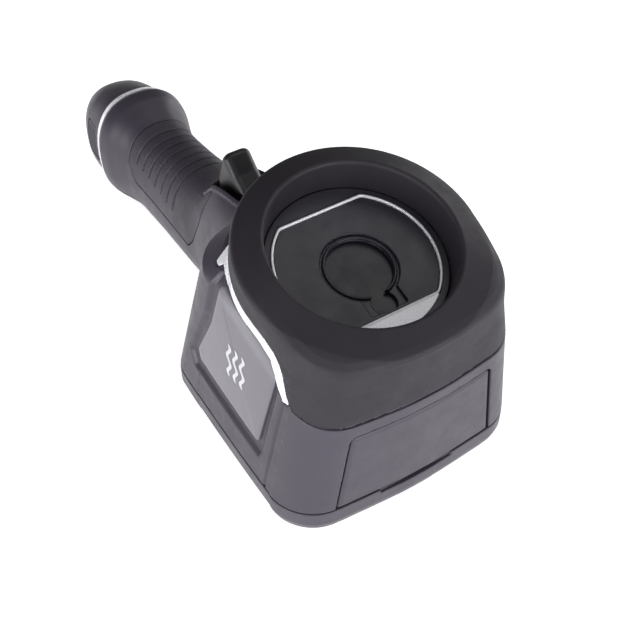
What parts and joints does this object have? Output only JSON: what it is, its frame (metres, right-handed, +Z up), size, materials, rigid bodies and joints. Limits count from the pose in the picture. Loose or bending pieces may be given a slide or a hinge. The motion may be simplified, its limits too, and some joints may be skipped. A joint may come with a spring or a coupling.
{
  "type": "thermal imaging camera",
  "caption": "Pistol-grip thermal imaging camera with a lens cover, trigger, port flap, rear display with keys and a battery that slides out of its handle.",
  "frame": {"origin": "centre of the footprint, on the plane the camera rests on", "axes": "+Z up from the resting plane, on the lens side; +Y towards the handle's end; +X to the right seen from the head with the lens up"},
  "size_m": [0.0964, 0.2415, 0.0977],
  "materials": {
    "shell": "dark grey moulded plastic with a fine spark-eroded texture",
    "shell_back": "dark grey moulded plastic, fine texture",
    "bumper": "soft-touch black rubber",
    "bezel": "grey moulded ring",
    "bright": "satin bright plating",
    "plate": "semi-gloss black plate",
    "cover": "dark shutter blade",
    "lever": "moulded lever",
    "steel": "turned steel",
    "ir_glass": "coated germanium",
    "barrel": "black anodised",
    "detector": "machined can",
    "chip": "sensor package",
    "bracket": "folded bracket",
    "coil": "wound coil can",
    "flag": "black flag",
    "lens_glass": "coated glass",
    "module": "camera module",
    "panel": "semi-gloss grey panel",
    "grip": "fine-grained rubber with cross grooves",
    "trigger": "smooth black trigger",
    "switch": "switch body",
    "flap": "soft moulded flap",
    "contact": "gold-plated contacts",
    "cell": "wrapped lithium cell",
    "case": "moulded battery case",
    "screen_glass": "dark hardened window",
    "panel_lcd": "display module",
    "gasket": "foam gasket",
    "key": "soft keys",
    "mat": "silicone mat",
    "board": "solder-masked circuit board",
    "screw": "black-plated screws"
  },
  "bodies": {
    "housing": {"front_housing": "shell", "rear_housing": "shell_back", "front_bumper": "bumper", "lens_bezel": "bezel", "lens_trim_ring": "bright", "lens_front_plate": "plate", "lens_cover_pin": "steel", "ir_lens": "ir_glass", "ir_lens_barrel": "barrel", "detector_housing": "detector", "detector_chip": "chip", "core_bracket": "bracket", "shutter_actuator": "coil", "visual_camera_lens": "lens_glass", "visual_camera_module": "module", "side_trim_left": "bright", "side_trim_right": "bright", "side_panel_left": "panel", "side_panel_right": "panel", "grip_inlay": "grip", "trigger_pin": "steel", "trigger_spring": "steel", "trigger_switch": "switch", "usb_socket": "steel", "battery_contacts": "contact", "display_window": "screen_glass", "display_gasket": "gasket", "display_panel": "panel_lcd", "keypad_mat": "mat", "main_board": "board", "housing_screws": "screw"},
    "lens_cover": {"lens_cover_blade": "cover", "lens_cover_lever": "lever"},
    "shutter": {"shutter_flag": "flag"},
    "trigger": {"trigger": "trigger"},
    "usb_flap": {"usb_flap": "flap"},
    "battery": {"battery_case": "case", "battery_cell": "cell", "battery_end_cap": "shell", "battery_trim_ring": "bright"},
    "latch_left": {"latch_button_left": "key"},
    "latch_right": {"latch_button_right": "key"},
    "power_key": {"power_button": "key"},
    "archive_key": {"archive_button": "key"},
    "cancel_key": {"cancel_button": "key"},
    "select_key": {"select_button": "key"},
    "nav_rocker": {"nav_rocker": "module"},
    "nav_ring": {"nav_ring": "key"}
  },
  "joints": [
    {"name": "lens_cover_turn", "type": "hinge", "parent": "housing", "child": "lens_cover", "pos_m": [0.0275, -0.06333, 0.07775], "axis": [0, -0.2672, 0.9636], "range_deg": [-46, 0]},
    {"name": "shutter_turn", "type": "hinge", "parent": "housing", "child": "shutter", "pos_m": [0.015, -0.06358, 0.04831], "axis": [0, -0.2672, 0.9636], "range_deg": [0, 107]},
    {"name": "trigger_pull", "type": "hinge", "parent": "housing", "child": "trigger", "pos_m": [0, -0.027, 0.058], "axis": [-1, 0, 0], "range_deg": [0, 8], "stiffness_Nm_per_rad": 0.2, "deforming": ["trigger_spring"]},
    {"name": "usb_flap_open", "type": "hinge", "parent": "housing", "child": "usb_flap", "pos_m": [0, -0.1188, 0.0443], "axis": [-1, 0, 0], "range_deg": [0, 95]},
    {"name": "battery_slide", "type": "slide", "parent": "housing", "child": "battery", "axis": [0, 1, 0], "range_m": [0, 0.085]},
    {"name": "latch_left_press", "type": "slide", "parent": "battery", "child": "latch_left", "axis": [1, 0, 0], "range_m": [0, 0.0014], "stiffness_N_per_m": 500},
    {"name": "latch_right_press", "type": "slide", "parent": "battery", "child": "latch_right", "axis": [-1, 0, 0], "range_m": [0, 0.0014], "stiffness_N_per_m": 500},
    {"name": "power_press", "type": "slide", "parent": "housing", "child": "power_key", "axis": [0, 0, 1], "range_m": [0, 0.0008], "stiffness_N_per_m": 500},
    {"name": "archive_press", "type": "slide", "parent": "housing", "child": "archive_key", "axis": [0, 0, 1], "range_m": [0, 0.0008], "stiffness_N_per_m": 500},
    {"name": "cancel_press", "type": "slide", "parent": "housing", "child": "cancel_key", "axis": [0, 0, 1], "range_m": [0, 0.0008], "stiffness_N_per_m": 500},
    {"name": "select_press", "type": "slide", "parent": "housing", "child": "select_key", "axis": [0, 0, 1], "range_m": [0, 0.0008], "stiffness_N_per_m": 500},
    {"name": "nav_tilt_x", "type": "hinge", "parent": "housing", "child": "nav_rocker", "pos_m": [0, -0.04, 0.0035], "axis": [1, 0, 0], "range_deg": [-3, 3], "stiffness_Nm_per_rad": 0.05},
    {"name": "nav_tilt_y", "type": "hinge", "parent": "nav_rocker", "child": "nav_ring", "pos_m": [0, -0.04, 0.0035], "axis": [0, 1, 0], "range_deg": [-3, 3], "stiffness_Nm_per_rad": 0.05}
  ]
}
